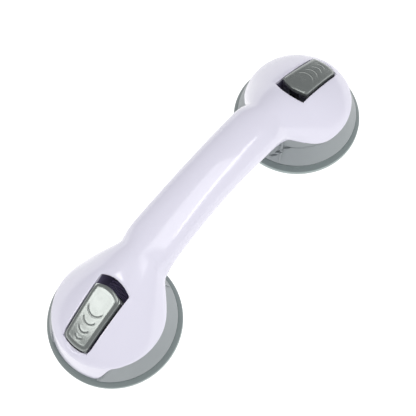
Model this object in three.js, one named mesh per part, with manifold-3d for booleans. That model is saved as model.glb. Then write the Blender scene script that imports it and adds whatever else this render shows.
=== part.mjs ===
// A suction grab bar: a curved white handle between two round heads. Each head holds a
// rubber suction cup, whose stud a hinged cam lever pulls up to lock it against a wall.
// Millimetres, +Z away from the wall, X along the bar, origin at the foot of the centre.
import * as THREE from "three";
import { mergeVertices } from "three/addons/utils/BufferGeometryUtils.js";
import { ParametricGeometry } from "three/addons/geometries/ParametricGeometry.js";
import Module from "manifold-3d";

const wasm = await Module();
wasm.setup();

// ---- driving dimensions ----
const headSpacing = 198;
const crestHeight = 72; // top of the grip above the wall
const headTopHeight = 50.8; // top of the shell over a head's centre
const headSlope = 0.448; // fall of the top at a head's centre
const headSlopeGrowth = 0.0027; // how fast it steepens towards the outer end
const gripWidth = 34.4;
const gripThickness = 25.4;
const gripFlare = 0.0008; // widening of the grip per square millimetre from its middle
const neckBlend = 7; // softness of the fillet from grip to head
const neckStart = 49; // where the grip starts to turn into a head, from its centre
const neckEnd = 10; // and where it has become one
const headRadius = 37.8;
const headEdgeHeight = 25.6;
const edgeLip = 1; // upright band along the shell's lower edge
const coverEndDepth = 4; // least depth of the grip cover, at its ends
const shellWall = 2.6;
const edgeRounding = 12; // length over which the outer end's top edge rolls over
const headCrown = 1.8; // 1 makes the section over a head an ellipse, 2 a parabola
const gap = 0.3; // between pieces that touch

const skirtAngle = 43; // half the sector that the outer skirt covers
const skirtFoot = 42; // its outer radius at its lower edge
const skirtWall = 2.2;

const slotNeck = 14.6; // slot's reach from the head's centre towards the grip
const slotOuter = 32.4; // and towards the outer end
const slotGap = 1.6; // beside the lever
const slotBow = 3; // of its end, and the lever's, at the grip
const wellReach = 19.4; // room that the lever's heel turns in
const wellWall = 2;
const scoopRadius = 12;
const scoopDepth = 1.8;

const leverWidth = 20.4;
const leverTipWidth = 18.4;
const leverHeel = 8.4; // heel's distance behind the pin
const leverTip = 31.7; // tip's distance in front of it
const leverProud = 1.1; // above the shell
const leverThickness = 6;
const forkGap = 8;
const forkClearance = 1.4; // round the stud's eye
const pivotDepth = 10.8; // pin below the top of the head
const pinRadius = 2;
const pinClearance = 0.1;
const pinLength = 18.6;
const camRadius = 5.6; // of the cam where it bears with the lever open
const camStroke = 3; // how far the lever lets the stud down
const openAngle = 90;

const cupRadius = 46;
const cupLip = 4; // height of the rim's upright edge
const cupTop = 8; // height of the rim's upper face
const cupTopRadius = 43;
const cupLipWidth = 6; // flat ring that seals on the wall
const cupHollow = 3.8; // depth of the sealing face's hollow
const cupBossRadius = 13;
const cupBossTop = 12.5;
const cupSkin = 2.2; // rubber under the stud's flange

const studRadius = 5;
const studFlangeRadius = 11.5;
const studFlangeThickness = 2.2;
const studGuideClearance = 0.4;

const collarTopRadius = 36.8;
const collarWallFoot = 37; // inner radius at the foot
const collarWallTop = 33.3; // and under the floor
const collarFloorHeight = 21; // underside of the floor
const collarFloor = 3;
const spigotClearance = 0.6; // collar inside the shell's wall
const spigotWall = 1.8;
const spigotReach = 1.7; // above the shell's lower edge
const towerRadius = 10;
const washerRadius = 9.5;
const washerThickness = 1;
const gussetThickness = 1.8;
const gussetDrop = 7; // from the grip's underside
const gussetAngles = [-21, -9, 9, 21];

const springWire = 1.2;
const springRadius = 7.2;
const springTurns = 3.5;

const collarScrewU = 18;
const collarScrewV = 21.5;
const gripScrewPlaces = [-47, -17, 17, 47];
const screwRadius = 1.4;
const screwHeadRadius = 3;
const screwHeadHeight = 2;
const holeClearance = 0.35;
const bossWall = 2.5;
const seatWall = 1.5; // round the grip screws' heads
const screwRecess = 1.2; // heads below the cover's surface
const gripScrewReach = 8; // above the split
const collarScrewReach = 6; // above the collar's floor

// ---- values that follow ----
const headX = headSpacing / 2;
const pivotHeight = headTopHeight - pivotDepth;
const camLow = camRadius;
const camHigh = camLow + camStroke;
const bearingHeight = pivotHeight - camHigh - gap;
const towerTop = bearingHeight - washerThickness - gap;
const collarTop = collarFloorHeight + collarFloor;
const spigotTop = headEdgeHeight + spigotReach;
const spigotRadius = headRadius - shellWall - spigotClearance;
const collarFoot = cupTop + gap;
const skirtTop = headEdgeHeight + edgeLip;
const studFlangeFoot = cupHollow + cupSkin + gap;
const bigCircle = 40; // sides of the large round pieces
const smallCircle = 20;
const tall = 200; // longer than any cut has to be

const materials = {
  shell: { color: 0xeceaf8, roughness: 0.25, metalness: 0 },
  lever: { color: 0x8f9693, roughness: 0.25, metalness: 0 },
  collar: { color: 0x98a0a2, roughness: 0.45, metalness: 0 },
  rubber: { color: 0x5e6666, roughness: 0.7, metalness: 0 },
  stud: { color: 0xd8d6d0, roughness: 0.5, metalness: 0 },
  steel: { color: 0xb4b6ba, roughness: 0.3, metalness: 1 },
};

// ---- helpers ----
const mix = (a, b, share) => a * (1 - share) + b * share;

function smoothstep(low, high, value) {
  const t = THREE.MathUtils.clamp((value - low) / (high - low), 0, 1);
  return t * t * (3 - 2 * t);
}

// The larger of two values, with their crossing rounded over a width.
function softMax(a, b, width) {
  const near = Math.max(width - Math.abs(a - b), 0) / width;
  return Math.max(a, b) + (near * near * width) / 4;
}

// A closed three.js geometry as a manifold-3d solid that faces out.
function solid(geometry) {
  const bare = geometry.index ? geometry.toNonIndexed() : geometry.clone();
  bare.deleteAttribute("normal");
  bare.deleteAttribute("uv");
  const merged = mergeVertices(bare, 1e-4);
  const corners = merged.index.array;
  const kept = [];
  for (let i = 0; i < corners.length; i += 3) {
    const [a, b, c] = corners.slice(i, i + 3);
    if (a !== b && b !== c && c !== a) kept.push(a, b, c);
  }
  const build = (triangles) =>
    new wasm.Manifold(
      new wasm.Mesh({
        numProp: 3,
        vertProperties: merged.attributes.position.array,
        triVerts: new Uint32Array(triangles),
      }),
    );
  const made = build(kept);
  return made.volume() > 0 ? made : build(kept.reverse());
}

function meshOf(name, made, finish) {
  const shape = made.getMesh();
  const geometry = new THREE.BufferGeometry();
  const position = new THREE.BufferAttribute(shape.vertProperties, 3);
  geometry.setAttribute("position", position);
  geometry.setIndex(new THREE.BufferAttribute(shape.triVerts, 1));
  geometry.computeVertexNormals();
  const mesh = new THREE.Mesh(
    geometry,
    new THREE.MeshStandardMaterial(materials[finish]),
  );
  mesh.name = name;
  return mesh;
}

const outline = (points) =>
  new THREE.Shape(points.map(([x, y]) => new THREE.Vector2(x, y)));

// An outline in plan, raised from one height to another.
function plate(points, low, high) {
  const depth = high - low;
  const options = { depth, bevelEnabled: false };
  return solid(
    new THREE.ExtrudeGeometry(outline(points), options).translate(0, 0, low),
  );
}

// An outline in side view (X and Z), with its width centred on Y = 0.
function slab(points, width) {
  const options = { depth: width, bevelEnabled: false };
  return solid(
    new THREE.ExtrudeGeometry(outline(points), options)
      .translate(0, 0, -width / 2)
      .rotateX(Math.PI / 2),
  );
}

// A profile of radius and height, turned about the Z axis.
function turned(points, sides) {
  const profile = points.map(([r, z]) => new THREE.Vector2(r, z));
  return solid(new THREE.LatheGeometry(profile, sides).rotateX(Math.PI / 2));
}

function rod(radius, low, high, sides = smallCircle) {
  return turned(
    [
      [0, low],
      [radius, low],
      [radius, high],
      [0, high],
    ],
    sides,
  );
}

// A surface through one ring of points at each station along X.
function loft(stations, ring, flatEnds) {
  const rings = stations.map(ring);
  const closed = (one) =>
    one.map(() =>
      one
        .reduce((sum, p) => sum.add(p), new THREE.Vector3())
        .divideScalar(one.length),
    );
  if (flatEnds) {
    rings.unshift(closed(rings[0]));
    rings.push(closed(rings[rings.length - 1]));
  }
  const around = rings[0].length;
  const along = rings.length - 1;
  const surface = (u, v, target) =>
    target.copy(rings[Math.round(v * along)][Math.round(u * around) % around]);
  return solid(new ParametricGeometry(surface, around, along));
}

// A sector of the plan about the head's centre, from minus to plus an angle.
function sector(halfAngle) {
  const angle = THREE.MathUtils.degToRad(halfAngle);
  const reach = cupRadius * 2;
  return plate(
    [
      [0, 0],
      [reach * Math.cos(angle), -reach * Math.sin(angle)],
      [reach * Math.cos(angle), reach * Math.sin(angle)],
    ],
    0,
    tall,
  );
}

// ---- the handle's form, by distance from the bar's middle ----
function topHeight(x) {
  const away = Math.abs(x);
  if (away > headX) {
    const past = away - headX;
    return headTopHeight - headSlope * past - headSlopeGrowth * past * past;
  }
  const t = away / headX;
  const fall = t * t * (3 - 2 * t);
  const bend = t * t * (t - 1);
  return mix(crestHeight, headTopHeight, fall) - headSlope * headX * bend;
}

function halfWidth(x, inset) {
  const away = Math.abs(x);
  const radius = headRadius - inset;
  const reach = away - headX;
  const round = Math.sqrt(Math.max(radius * radius - reach * reach, 0));
  if (away >= headX) return round;
  const grip = gripWidth / 2 - inset + (gripFlare / 2) * away * away;
  return softMax(grip, round, neckBlend);
}

// Height of the shell's lower edge, where the grip cover and the collars meet it.
function splitHeight(x) {
  const away = Math.abs(x);
  const grip = topHeight(x) - gripThickness / 2 - edgeLip;
  return mix(grip, headEdgeHeight, smoothstep(headX - neckStart, headX - neckEnd, away));
}

const undersideHeight = (x) => topHeight(x) - gripThickness;

function handleStations(inset, outerSteps, neckSteps, gripSteps) {
  const radius = headRadius - inset;
  const gripEnd = headX - neckStart;
  const half = [];
  for (let i = 0; i < gripSteps; i += 1) half.push((gripEnd * i) / gripSteps);
  for (let i = 0; i < neckSteps; i += 1)
    half.push(mix(gripEnd, headX, i / neckSteps));
  for (let i = 0; i <= outerSteps; i += 1)
    half.push(headX + radius * Math.sin((Math.PI / 2) * (i / outerSteps)));
  const mirrored = half.slice(1).map((x) => -x);
  return [...mirrored.reverse(), ...half];
}

// One upper section: an arch over upright sides, closed across its foot.
function archRing(x, inset, footDrop, steps) {
  const wide = halfWidth(x, inset);
  const side = splitHeight(x) + edgeLip;
  const endX = headX + headRadius - inset;
  const past = Math.max(Math.abs(x) - (endX - edgeRounding), 0) / edgeRounding;
  const roll = Math.sqrt(Math.max(1 - past * past, 0));
  const rise = (topHeight(x) - inset - side) * roll;
  const foot = splitHeight(x) - footDrop;
  const away = Math.abs(x);
  const crown = mix(1, headCrown, smoothstep(headX - neckStart, headX - neckEnd, away));
  const ring = [];
  for (let i = 0; i <= steps; i += 1) {
    const angle = (Math.PI * i) / steps;
    const y = wide * Math.cos(angle);
    const lift = i === steps ? 0 : Math.sin(angle) ** crown;
    ring.push(new THREE.Vector3(x, y, side + rise * lift));
  }
  ring.push(new THREE.Vector3(x, -wide, foot));
  ring.push(new THREE.Vector3(x, wide, foot));
  return ring;
}

// One lower section of the grip: a rounded trough under the split.
function troughRing(x, inset, rise, steps) {
  const wide = halfWidth(x, inset);
  const lip = splitHeight(x) - gap;
  const low = Math.min(undersideHeight(x), lip - coverEndDepth);
  const depth = lip - low - inset;
  const ring = [];
  for (let i = 0; i <= steps; i += 1) {
    const angle = Math.PI * (1 + i / steps);
    const y = wide * Math.cos(angle);
    ring.push(new THREE.Vector3(x, y, lip + depth * Math.sin(angle)));
  }
  if (rise > 0) {
    ring.push(new THREE.Vector3(x, wide, lip + rise));
    ring.push(new THREE.Vector3(x, -wide, lip + rise));
  }
  return ring;
}

// ---- the lever's slot, seen in plan from the head's centre ----
function slotOutline(neck, outer, grow) {
  const half = (u) =>
    grow +
    mix(
      leverWidth,
      leverTipWidth,
      (u + leverHeel) / (leverTip + leverHeel),
    ) /
      2;
  const steps = 6;
  const points = [
    [outer, -half(outer)],
    [outer, half(outer)],
  ];
  for (let i = 0; i <= steps; i += 1) {
    const v = mix(half(-neck), -half(-neck), i / steps);
    const share = v / half(-neck);
    points.push([-neck + slotBow * share * share, v]);
  }
  return points;
}

// A piece made about the head's centre, put on the left or the right head.
const placed = (made, side) =>
  made.rotate([0, 0, side < 0 ? 180 : 0]).translate([side * headX, 0, 0]);

function screwBoss(x, y, low) {
  const radius = screwRadius + holeClearance + bossWall;
  return rod(radius, low, crestHeight, 10).translate([x, y, 0]);
}

const collarScrewSpots = [
  [collarScrewU, collarScrewV],
  [collarScrewU, -collarScrewV],
  [-collarScrewU, collarScrewV],
  [-collarScrewU, -collarScrewV],
];
const collarScrewTip = collarTop + collarScrewReach;

// ---- pieces ----
// The head's skirt, which hangs over the collar at the outer end.
function outerSkirt() {
  const foot = collarFoot + gap;
  const ring = turned(
    [
      [headRadius - skirtWall, skirtTop],
      [skirtFoot - skirtWall, foot],
      [skirtFoot, foot],
      [headRadius, skirtTop],
      [headRadius - skirtWall, skirtTop],
    ],
    bigCircle,
  );
  return ring.intersect(sector(skirtAngle));
}

// The walls inside a head that the lever's heel turns between.
function slotWell() {
  const spread = slotGap + wellWall;
  const outer = slotOutline(wellReach + wellWall, slotOuter + wellWall, spread);
  const inner = slotOutline(wellReach, slotOuter, slotGap);
  return plate(outer, spigotTop + gap, tall).subtract(plate(inner, 0, tall));
}

// The hollow for a fingertip under the lever's tip.
function fingerScoop() {
  const height = topHeight(headX + slotOuter) + scoopRadius - scoopDepth;
  const ball = new THREE.SphereGeometry(scoopRadius, 20, 12);
  return solid(ball.translate(slotOuter, 0, height));
}

const hole = (x, y, top) =>
  rod(screwRadius + holeClearance, 0, top, 12).translate([x, y, 0]);

function handleShell() {
  const outer = loft(handleStations(0, 8, 11, 4), (x) => archRing(x, 0, 0, 14));
  const inner = loft(handleStations(shellWall, 8, 9, 3), (x) =>
    archRing(x, shellWall, shellWall * 3, 10),
  );
  const room = loft(handleStations(0, 8, 11, 4), (x) =>
    archRing(x, 0, headEdgeHeight - collarFloorHeight, 14),
  );
  const slot = plate(slotOutline(slotNeck, slotOuter, slotGap), 0, tall);
  const fittings = [];
  const skirts = [];
  const cuts = [];
  for (const side of [-1, 1]) {
    fittings.push(placed(slotWell(), side));
    skirts.push(placed(outerSkirt(), side));
    cuts.push(placed(slot, side), placed(fingerScoop(), side));
    for (const [u, v] of collarScrewSpots) {
      const x = side * headX + u;
      fittings.push(screwBoss(x, v, collarTop + gap));
      cuts.push(hole(x, v, collarScrewTip + gap));
    }
  }
  for (const x of gripScrewPlaces) {
    fittings.push(screwBoss(x, 0, splitHeight(x) - 1 + gap));
    cuts.push(hole(x, 0, splitHeight(x) + gripScrewReach + 1));
  }
  const join = (a, b) => a.add(b);
  const inside = fittings.reduce(join).intersect(room);
  const shell = skirts.reduce(join, outer.subtract(inner).add(inside));
  return cuts.reduce((a, b) => a.subtract(b), shell);
}

function gripCover() {
  const end = headX - collarTopRadius + 4;
  const stations = handleStations(0, 8, 11, 4).filter(
    (x) => Math.abs(x) < end,
  );
  const outer = loft(stations, (x) => troughRing(x, 0, 0, 12), true);
  const inner = loft(stations, (x) => troughRing(x, shellWall, 1, 8), true);
  const headRoom = screwHeadRadius + holeClearance;
  let cover = outer.subtract(inner);
  for (const x of gripScrewPlaces) {
    const low = undersideHeight(x);
    const boss = rod(headRoom + seatWall, low - 1, splitHeight(x) - 1, 16);
    cover = cover.add(boss.translate([x, 0, 0]).intersect(outer.add(inner)));
  }
  for (const x of gripScrewPlaces) {
    const seat = undersideHeight(x) + screwRecess + screwHeadHeight + gap;
    const room = rod(headRoom, 0, seat, 16).translate([x, 0, 0]);
    cover = cover.subtract(room).subtract(hole(x, 0, tall));
  }
  const head = rod(collarTopRadius + gap, 0, tall, bigCircle);
  return cover.subtract(placed(head, -1)).subtract(placed(head, 1));
}

// A pan-head screw: its head's foot at the origin, its shank upwards.
function screw(length) {
  const body = turned(
    [
      [0, 0],
      [screwHeadRadius * 0.85, 0],
      [screwHeadRadius, screwHeadHeight * 0.4],
      [screwHeadRadius, screwHeadHeight],
      [screwRadius, screwHeadHeight],
      [screwRadius, screwHeadHeight + length - 1],
      [screwRadius / 2, screwHeadHeight + length],
      [0, screwHeadHeight + length],
    ],
    8,
  );
  const arm = screwHeadRadius * 0.6;
  const half = 0.35;
  const bar = [
    [-arm, -half],
    [arm, -half],
    [arm, half],
    [-arm, half],
  ];
  const slit = plate(bar, -1, 1);
  return body.subtract(slit).subtract(slit.rotate([0, 0, 90]));
}

function suctionCup() {
  const skinTop = cupHollow + cupSkin;
  const pocketTop = studFlangeFoot + studFlangeThickness + gap;
  const lipRadius = cupRadius - cupLipWidth;
  return turned(
    [
      [0, cupHollow],
      [lipRadius / 2, cupHollow - 0.6],
      [lipRadius - 2, 1],
      [lipRadius, 0],
      [cupRadius - 0.8, 0],
      [cupRadius, 0.8],
      [cupRadius, cupLip],
      [cupTopRadius, cupTop],
      [collarWallFoot - 1, cupTop],
      [collarWallFoot - 7, cupTop - 1.2],
      [cupBossRadius + 1.5, cupTop - 0.8],
      [cupBossRadius, cupBossTop],
      [studRadius + gap, cupBossTop],
      [studRadius + gap, pocketTop],
      [studFlangeRadius + gap, pocketTop],
      [studFlangeRadius + gap, skinTop],
      [0, skinTop],
    ],
    bigCircle,
  );
}

function cupStud() {
  const shankTop = towerTop - 1;
  const body = turned(
    [
      [0, studFlangeFoot],
      [studFlangeRadius, studFlangeFoot],
      [studFlangeRadius, studFlangeFoot + studFlangeThickness],
      [studRadius, studFlangeFoot + studFlangeThickness],
      [studRadius, shankTop],
      [0, shankTop],
    ],
    smallCircle,
  );
  const eye = studRadius - 0.2;
  const neck = studRadius * 0.68;
  const side = [
    [-neck, shankTop - 2],
    [neck, shankTop - 2],
  ];
  const steps = 16;
  for (let i = 0; i <= steps; i += 1) {
    const angle = THREE.MathUtils.degToRad(mix(-48, 228, i / steps));
    side.push([eye * Math.cos(angle), pivotHeight + eye * Math.sin(angle)]);
  }
  const tongue = slab(side, forkGap - 1);
  const bore = crossRod(pinRadius + pinClearance, leverWidth * 2);
  return body.add(tongue).subtract(bore);
}

// A rod along Y through the pivot.
function crossRod(radius, length) {
  return rod(radius, -length / 2, length / 2)
    .rotate([90, 0, 0])
    .translate([0, 0, pivotHeight]);
}

// The cam's outline: its support falls evenly from the locked side to the heel.
function camPoints() {
  const points = [];
  const steps = 8;
  const turn = THREE.MathUtils.degToRad(openAngle);
  const lead = camStroke / turn;
  for (let i = 0; i <= steps; i += 1) {
    const swept = (turn * i) / steps;
    const facing = -Math.PI / 2 - swept;
    const reach = camHigh - lead * swept;
    points.push([
      reach * Math.cos(facing) - lead * Math.sin(facing),
      pivotHeight + reach * Math.sin(facing) + lead * Math.cos(facing),
    ]);
  }
  return points;
}

function lever() {
  const steps = 8;
  const top = [];
  for (let i = 0; i <= steps; i += 1) {
    const u = mix(-leverHeel + 1.2, leverTip - 1, i / steps);
    top.push([u, topHeight(headX + u) + leverProud]);
  }
  const heelTop = topHeight(headX - leverHeel) + leverProud;
  const tipTop = topHeight(headX + leverTip) + leverProud - 1;
  const under = (u) => topHeight(headX + u) + leverProud - leverThickness;
  const heelFoot = pivotHeight + towerRadius + 2 * gap; // passes the tower, open
  const spare = 2; // the plan cuts the side view's ends off
  const profile = [
    [-leverHeel - spare, heelTop - spare],
    ...top,
    [leverTip + spare, tipTop - spare],
    [leverTip + spare, under(leverTip) + 1],
    [leverTip - 3, under(leverTip - 3)],
    [leverTip / 2, under(leverTip / 2)],
    [camHigh, under(camHigh)],
    [camHigh - 1, pivotHeight - camHigh * 0.45],
    [camHigh / 2, pivotHeight - camHigh],
    ...camPoints(),
    [-camLow, heelFoot],
    [-leverHeel - spare, heelFoot],
  ];
  const plan = slotOutline(leverHeel, leverTip, 0);
  let made = slab(profile.reverse(), leverWidth * 2);
  made = made.intersect(plate(plan, 0, tall));
  const clear = studRadius + forkClearance;
  const fork = [];
  for (let i = 0; i <= 8; i += 1) {
    const angle = THREE.MathUtils.degToRad(mix(-40, 90, i / 8));
    fork.push([clear * Math.cos(angle), pivotHeight + clear * Math.sin(angle)]);
  }
  fork.push([-leverHeel * 3, pivotHeight + clear]);
  fork.push([-leverHeel * 3, pivotHeight - camHigh * 2]);
  fork.push([clear, pivotHeight - camHigh * 2]);
  made = made.subtract(slab(fork, forkGap));
  return made.subtract(crossRod(pinRadius + pinClearance, leverWidth * 2));
}

function collar() {
  const body = turned(
    [
      [studRadius + studGuideClearance, collarFloorHeight],
      [studRadius + studGuideClearance, towerTop],
      [towerRadius, towerTop],
      [towerRadius, collarTop],
      [spigotRadius - spigotWall, collarTop],
      [spigotRadius - spigotWall, spigotTop],
      [spigotRadius - 0.4, spigotTop],
      [spigotRadius, headEdgeHeight - gap],
      [collarTopRadius, headEdgeHeight - gap],
      [cupTopRadius, collarFoot + 1],
      [cupTopRadius, collarFoot],
      [collarWallFoot, collarFoot],
      [collarWallTop, collarFloorHeight],
      [studRadius + studGuideClearance, collarFloorHeight],
    ],
    bigCircle,
  );
  const saddleRing = turned(
    [
      [collarWallTop, headEdgeHeight - 2],
      [collarTopRadius - 0.2, headEdgeHeight - 2],
      [collarTopRadius - 0.2, crestHeight],
      [collarWallTop, crestHeight],
      [collarWallTop, headEdgeHeight - 2],
    ],
    bigCircle,
  );
  const steps = 12;
  const under = [
    [headRadius * 2, 0],
    [headRadius * 2, headEdgeHeight - gap],
  ];
  for (let i = 0; i <= steps; i += 1) {
    const u = mix(-neckEnd, -collarTopRadius - 1, i / steps);
    under.push([u, splitHeight(headX + u) - gap]);
  }
  under.push([-collarTopRadius - 1, 0]);
  const saddle = saddleRing.intersect(slab(under, cupRadius * 3));
  const gussetTop = undersideHeight(headX - collarTopRadius) - gussetDrop;
  const gusset = slab(
    [
      [-collarTopRadius + 2, headEdgeHeight - 2],
      [-collarTopRadius + 2, gussetTop],
      [-collarTopRadius + 0.4, gussetTop],
      [-cupTopRadius + 0.2, collarFoot + 1.5],
      [-collarTopRadius + 2, collarFoot + 1.5],
    ],
    gussetThickness,
  );
  let made = body.add(saddle);
  for (const angle of gussetAngles)
    made = made.add(gusset.rotate([0, 0, angle]));
  const skirtSpace = turned(
    [
      [headRadius - skirtWall - gap, skirtTop],
      [skirtFoot - skirtWall - gap, collarFoot + gap],
      [skirtFoot - skirtWall - gap, collarFoot],
      [cupRadius * 1.5, collarFoot],
      [cupRadius * 1.5, skirtTop],
      [headRadius - skirtWall - gap, skirtTop],
    ],
    bigCircle,
  ).intersect(sector(skirtAngle + 0.5));
  made = made.subtract(skirtSpace);
  for (const [u, v] of collarScrewSpots)
    made = made.subtract(
      rod(screwRadius + holeClearance, 0, tall, 12).translate([u, v, 0]),
    );
  return made;
}

const camWasher = () =>
  turned(
    [
      [studRadius + studGuideClearance, towerTop + gap],
      [washerRadius, towerTop + gap],
      [washerRadius, bearingHeight],
      [studRadius + studGuideClearance, bearingHeight],
      [studRadius + studGuideClearance, towerTop + gap],
    ],
    smallCircle,
  );

class SpringCoil extends THREE.Curve {
  getPoint(t, target = new THREE.Vector3()) {
    const angle = t * springTurns * 2 * Math.PI;
    const low = cupBossTop + gap + springWire / 2 + 0.1;
    const high = collarFloorHeight - gap - springWire / 2 - 0.1;
    return target.set(
      springRadius * Math.cos(angle),
      springRadius * Math.sin(angle),
      mix(low, high, t),
    );
  }
}

function releaseSpring() {
  const section = [];
  const sides = 5;
  for (let i = 0; i < sides; i += 1) {
    const angle = (2 * Math.PI * i) / sides;
    section.push([
      (springWire / 2) * Math.cos(angle),
      (springWire / 2) * Math.sin(angle),
    ]);
  }
  return solid(
    new THREE.ExtrudeGeometry(outline(section), {
      steps: Math.round(springTurns * 10),
      extrudePath: new SpringCoil(),
      bevelEnabled: false,
    }),
  );
}

// ---- assembly ----
const grabBar = new THREE.Group();
grabBar.add(meshOf("handle_shell", handleShell(), "shell"));
grabBar.add(meshOf("grip_cover", gripCover(), "shell"));
gripScrewPlaces.forEach((x, i) => {
  const foot = undersideHeight(x) + screwRecess;
  const tip = splitHeight(x) + gripScrewReach;
  const mesh = meshOf(
    `grip_screw_${i + 1}`,
    screw(tip - foot - screwHeadHeight),
    "steel",
  );
  mesh.position.set(x, 0, foot);
  grabBar.add(mesh);
});

for (const [name, side] of [
  ["left", -1],
  ["right", 1],
]) {
  const head = new THREE.Group();
  head.position.x = side * headX;
  head.rotation.z = side < 0 ? Math.PI : 0;
  head.add(meshOf(`${name}_suction_cup`, suctionCup(), "rubber"));
  head.add(meshOf(`${name}_cup_stud`, cupStud(), "stud"));
  head.add(meshOf(`${name}_collar`, collar(), "collar"));
  head.add(meshOf(`${name}_cam_washer`, camWasher(), "steel"));
  head.add(meshOf(`${name}_release_spring`, releaseSpring(), "steel"));
  head.add(meshOf(`${name}_lever`, lever(), "lever"));
  const pin = crossRod(pinRadius, pinLength);
  head.add(meshOf(`${name}_pivot_pin`, pin, "steel"));
  collarScrewSpots.forEach(([u, v], i) => {
    const foot = collarFloorHeight - gap - screwHeadHeight;
    const length = collarScrewTip - foot - screwHeadHeight;
    const mesh = meshOf(`${name}_collar_screw_${i + 1}`, screw(length), "steel");
    mesh.position.set(u, v, foot);
    head.add(mesh);
  });
  grabBar.add(head);
}

export default grabBar;
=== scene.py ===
from math import acos, asin, atan2, cos, exp, hypot, pi, radians, sin, sqrt

import bmesh
import bpy
from mathutils import Matrix, Vector


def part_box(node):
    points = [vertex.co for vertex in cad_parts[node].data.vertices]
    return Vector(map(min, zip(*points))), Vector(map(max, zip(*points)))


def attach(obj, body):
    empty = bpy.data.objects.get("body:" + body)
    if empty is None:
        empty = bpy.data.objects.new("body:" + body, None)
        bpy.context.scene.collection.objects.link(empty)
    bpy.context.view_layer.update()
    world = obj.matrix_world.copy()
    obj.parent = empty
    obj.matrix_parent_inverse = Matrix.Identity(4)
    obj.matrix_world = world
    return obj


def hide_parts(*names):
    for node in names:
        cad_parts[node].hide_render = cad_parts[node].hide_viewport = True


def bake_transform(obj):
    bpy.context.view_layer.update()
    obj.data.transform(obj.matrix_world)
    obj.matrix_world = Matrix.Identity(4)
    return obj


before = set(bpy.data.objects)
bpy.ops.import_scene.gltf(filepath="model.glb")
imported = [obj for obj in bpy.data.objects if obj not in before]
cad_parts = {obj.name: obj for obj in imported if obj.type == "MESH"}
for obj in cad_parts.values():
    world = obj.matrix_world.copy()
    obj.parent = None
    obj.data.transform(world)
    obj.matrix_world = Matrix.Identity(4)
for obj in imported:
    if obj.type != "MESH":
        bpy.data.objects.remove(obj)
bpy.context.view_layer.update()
mm = 0.001
print("frame loaded with", len(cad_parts), "nodes")


def boxMiddle(node):
    low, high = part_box(node)
    return (low + high) / 2 / mm


headX = boxMiddle("right_suction_cup").x
pinHeight = boxMiddle("right_pivot_pin").z
sides = {"left": -1, "right": 1}


def mix(a, b, share):
    return a * (1 - share) + b * share


def smoothstep(low, high, value):
    t = min(max((value - low) / (high - low), 0), 1)
    return t * t * (3 - 2 * t)


def softMax(a, b, width):
    near = max(width - abs(a - b), 0) / width
    return max(a, b) + near * near * width / 4


def softMin(a, b, width):
    return -softMax(-a, -b, width)


def at(x, y, z):
    return Vector((x, y, z)) * mm


def putDown():
    active = bpy.context.view_layer.objects.active
    if active and active.mode != "OBJECT":
        bpy.ops.object.mode_set(mode="OBJECT")
    bpy.ops.object.select_all(action="DESELECT")


def pickUp(piece):
    putDown()
    piece.select_set(True)
    bpy.context.view_layer.objects.active = piece


def startEditing(piece):
    pickUp(piece)
    bpy.ops.object.mode_set(mode="EDIT")
    bpy.ops.mesh.select_mode(type="VERT")


def justAdded(name):
    piece = bpy.context.object
    piece.name = name
    piece.data.name = name
    return piece


# In edit mode, selects the verts, edges or faces that pass a test.
def choose(piece, kind, test):
    bpy.ops.mesh.select_mode(type=kind)
    bpy.ops.mesh.select_all(action="DESELECT")
    shape = bmesh.from_edit_mesh(piece.data)
    parts = {"VERT": shape.verts, "EDGE": shape.edges, "FACE": shape.faces}[kind]
    for part in parts:
        if test(part):
            part.select_set(True)
    shape.select_flush_mode()
    bmesh.update_edit_mesh(piece.data)


# Moves each vertex to where the rule puts it, in millimetres.
def shaped(piece, rule):
    putDown()
    for corner in piece.data.vertices:
        corner.co = at(*rule(*(corner.co / mm)))
    piece.data.update()


def modified(piece, kind, **settings):
    pickUp(piece)
    bpy.ops.object.modifier_add(type=kind)
    added = piece.modifiers[-1]
    for name, value in settings.items():
        setattr(added, name, value)
    bpy.ops.object.modifier_apply(modifier=added.name)


def combined(piece, other, way):
    modified(piece, "BOOLEAN", operation=way, object=other, solver="EXACT")
    bpy.data.objects.remove(other)


def softened(piece, width, segments=2, angle=30):
    modified(
        piece,
        "BEVEL",
        width=width * mm,
        segments=segments,
        limit_method="ANGLE",
        angle_limit=radians(angle),
        use_clamp_overlap=True,
    )


def smoothed(piece, angle=35):
    pickUp(piece)
    bpy.ops.object.shade_smooth_by_angle(angle=radians(angle))


def copied(piece, name):
    pickUp(piece)
    bpy.ops.object.duplicate(linked=False)
    return justAdded(name)


# Puts a piece in place, with its place in its mesh.
def settled(piece, x=0, y=0, z=0, turn=0, tip=0):
    piece.location = at(x, y, z)
    piece.rotation_euler = (radians(tip), 0, radians(turn))
    pickUp(piece)
    bpy.ops.object.transform_apply(location=True, rotation=True, scale=True)
    return piece


# One point, drawn out through others, as a chain of edges.
def drawnChain(name, points):
    putDown()
    bpy.ops.mesh.primitive_plane_add(size=mm)
    piece = justAdded(name)
    bpy.ops.object.mode_set(mode="EDIT")
    bpy.ops.mesh.select_mode(type="VERT")
    bpy.ops.mesh.select_all(action="SELECT")
    bpy.ops.mesh.merge(type="CENTER")
    bpy.ops.transform.translate(value=at(*points[0]))
    for here, there in zip(points, points[1:]):
        step = at(*there) - at(*here)
        bpy.ops.mesh.extrude_region_move(TRANSFORM_OT_translate={"value": step})
    bpy.ops.mesh.select_all(action="SELECT")
    return piece


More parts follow.
